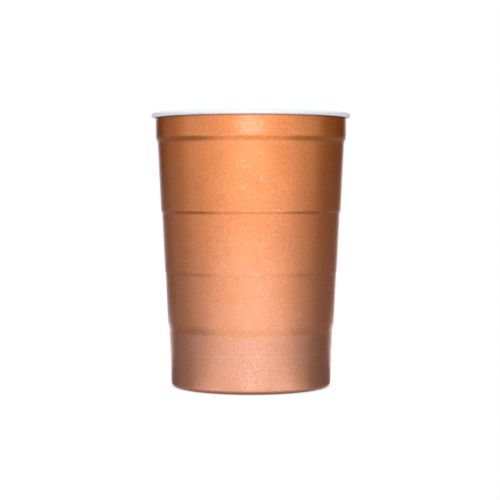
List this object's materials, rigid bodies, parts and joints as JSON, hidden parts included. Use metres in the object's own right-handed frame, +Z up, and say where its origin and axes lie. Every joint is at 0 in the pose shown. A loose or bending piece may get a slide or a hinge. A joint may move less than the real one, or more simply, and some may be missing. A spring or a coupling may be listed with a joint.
{
  "type": "stainless steel cup",
  "caption": "Insulated stainless steel cup with a stepped, copper-coloured coated shell, a bare liner rolled out over the shell at the rim, and a recessed base plate.",
  "frame": {"origin": "on the cup's axis, at the level of the surface that the foot stands on", "axes": "+Z up along the axis of the cup, towards the rim; the cup is round, so +X and +Y are free"},
  "size_m": [0.0896, 0.0896, 0.123],
  "materials": {
    "shell_coating": "copper-coloured metallic powder coat, semi-gloss with a fine grain, on steel",
    "liner_steel": "spun finish inside, polished on the rolled rim",
    "base_steel": "pressed sheet, turned brushing",
    "seal": "food-grade sealing compound, matt",
    "weld_steel": "seam weld, slightly heat-tinted"
  },
  "bodies": {
    "root": {"outer_shell": "shell_coating", "inner_liner": "liner_steel", "base_plate": "base_steel", "rim_seal": "seal", "base_weld": "weld_steel"}
  },
  "joints": []
}
